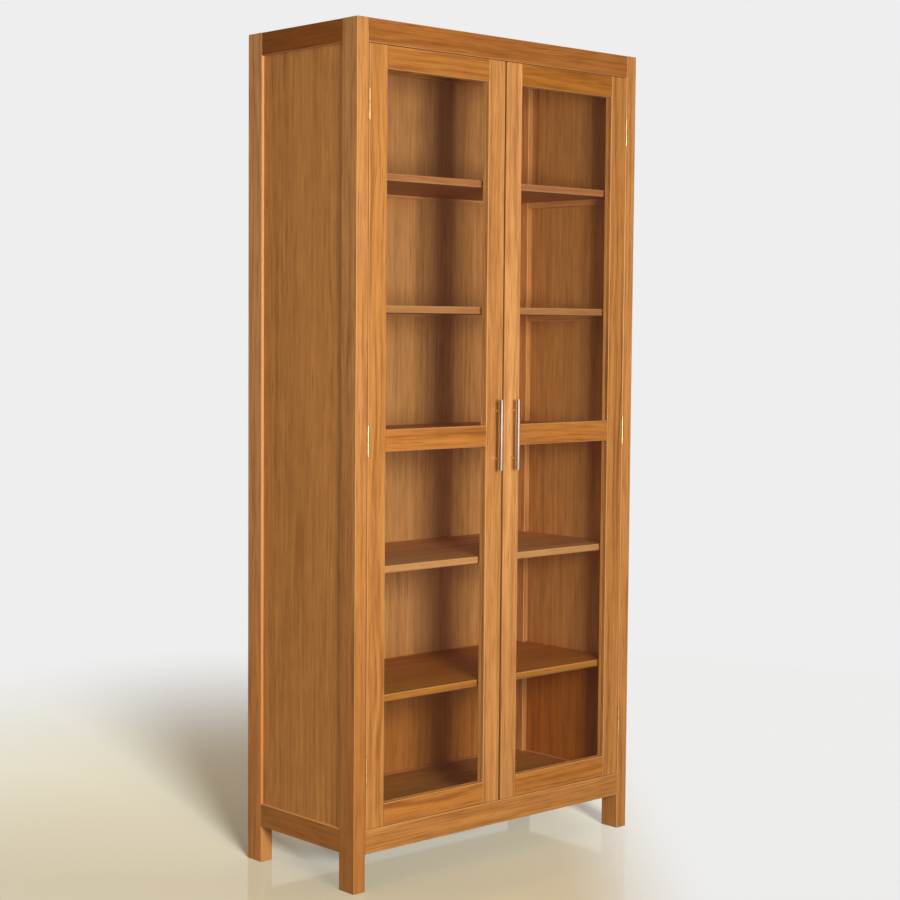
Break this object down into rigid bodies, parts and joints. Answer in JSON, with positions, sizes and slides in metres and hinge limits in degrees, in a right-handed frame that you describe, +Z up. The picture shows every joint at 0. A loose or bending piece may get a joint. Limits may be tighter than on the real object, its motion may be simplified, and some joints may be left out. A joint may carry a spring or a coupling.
{
  "type": "bookcase with glass doors",
  "caption": "Tall free-standing teak bookcase with framed sides, fixed shelves and a pair of hinged glazed doors with bar handles",
  "frame": {"origin": "middle of the floor area under the closed bookcase, handles included", "axes": "+Z up, the doors face -Y, +X to the right of someone who faces the doors"},
  "size_m": [1.02, 0.482, 2.2],
  "materials": {
    "teak": "clear satin oil on honey-coloured teak",
    "teak_panel": "clear satin oil on teak boards",
    "glass": "clear float glass",
    "brass": "plain drawn brass",
    "steel": "brushed stainless steel",
    "catch": "brown moulded plastic"
  },
  "bodies": {
    "case": {"post_front_left": "teak", "post_front_right": "teak", "post_rear_left": "teak", "post_rear_right": "teak", "top_rail_front": "teak", "top_rail_back": "teak", "top_rail_left": "teak", "top_rail_right": "teak", "bottom_rail_front": "teak", "bottom_rail_back": "teak", "bottom_rail_left": "teak", "bottom_rail_right": "teak", "side_panel_left": "teak_panel", "side_panel_right": "teak_panel", "back_panel": "teak_panel", "top_board": "teak", "floor_board": "teak", "shelf_1": "teak", "shelf_2": "teak", "shelf_3": "teak", "shelf_4": "teak", "shelf_5": "teak", "shelf_cleats_left": "teak", "shelf_cleats_right": "teak", "shelf_battens": "teak", "floor_cleats": "teak", "post_hinge_leaves_left": "brass", "post_hinge_leaves_right": "brass", "hinge_pins_left": "brass", "hinge_pins_right": "brass", "door_catches": "catch", "catch_magnets": "steel"},
    "left_door": {"left_door_hinge_stile": "teak", "left_door_meeting_stile": "teak", "left_door_top_rail": "teak", "left_door_mid_rail": "teak", "left_door_bottom_rail": "teak", "left_door_glass_upper": "glass", "left_door_glass_lower": "glass", "left_door_beads_upper": "teak", "left_door_beads_lower": "teak", "left_door_hinge_leaves": "brass", "left_door_catch_plate": "steel", "left_handle_bar": "steel", "left_handle_posts": "steel", "left_handle_screws": "steel"},
    "right_door": {"right_door_hinge_stile": "teak", "right_door_meeting_stile": "teak", "right_door_top_rail": "teak", "right_door_mid_rail": "teak", "right_door_bottom_rail": "teak", "right_door_glass_upper": "glass", "right_door_glass_lower": "glass", "right_door_beads_upper": "teak", "right_door_beads_lower": "teak", "right_door_hinge_leaves": "brass", "right_door_catch_plate": "steel", "right_handle_bar": "steel", "right_handle_posts": "steel", "right_handle_screws": "steel"}
  },
  "joints": [
    {"name": "left_door_swing", "type": "hinge", "parent": "case", "child": "left_door", "pos_m": [-0.471, -0.2105, 1.1495], "axis": [0, 0, -1], "range_deg": [0, 175]},
    {"name": "right_door_swing", "type": "hinge", "parent": "case", "child": "right_door", "pos_m": [0.471, -0.2105, 1.1495], "axis": [0, 0, 1], "range_deg": [0, 175]}
  ]
}
